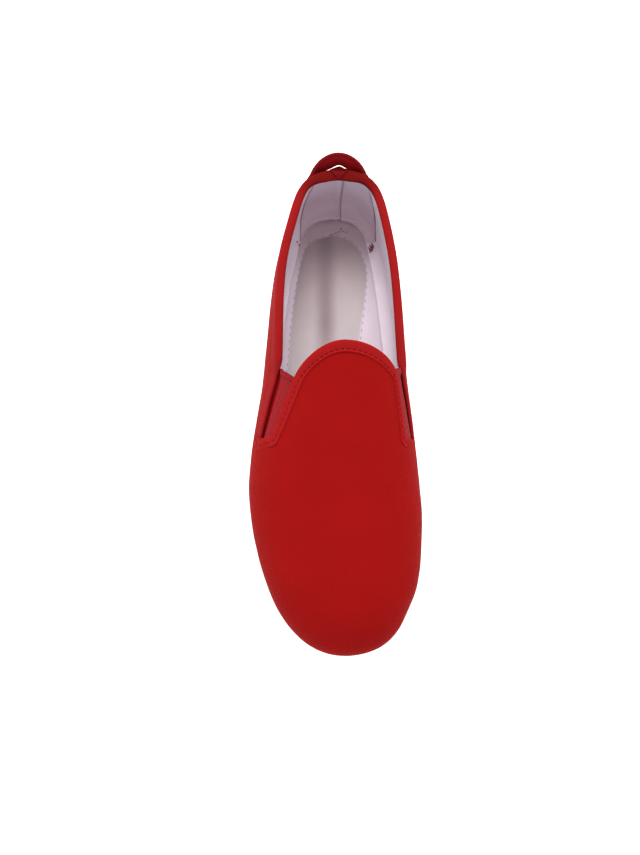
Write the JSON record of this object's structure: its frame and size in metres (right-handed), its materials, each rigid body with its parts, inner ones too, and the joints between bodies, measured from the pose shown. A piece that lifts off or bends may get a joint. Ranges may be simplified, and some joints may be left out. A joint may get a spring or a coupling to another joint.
{
  "type": "slip-on cloth shoe",
  "caption": "Right slip-on cloth shoe with a round toe, elastic gores, taped collar, pull loop at the heel and a flat rubber sole.",
  "frame": {"origin": "on the floor under the middle of the shoe's box", "axes": "toe along -Y, heel along +Y, big toe's side +X, up +Z"},
  "size_m": [0.0886, 0.2542, 0.0748],
  "materials": {
    "red_canvas": "matt cotton canvas",
    "red_tape": "matt folded cotton tape",
    "red_elastic": "ribbed woven elastic",
    "white_cotton": "matt off-white cotton",
    "pale_rubber": "satin moulded rubber"
  },
  "bodies": {
    "root": {"outsole": "pale_rubber", "insole": "white_cotton", "upper": "red_canvas", "collar_tape": "red_tape", "throat_tape": "red_tape", "gore_lateral": "red_elastic", "gore_medial": "red_elastic", "heel_loop": "red_tape"}
  },
  "joints": []
}
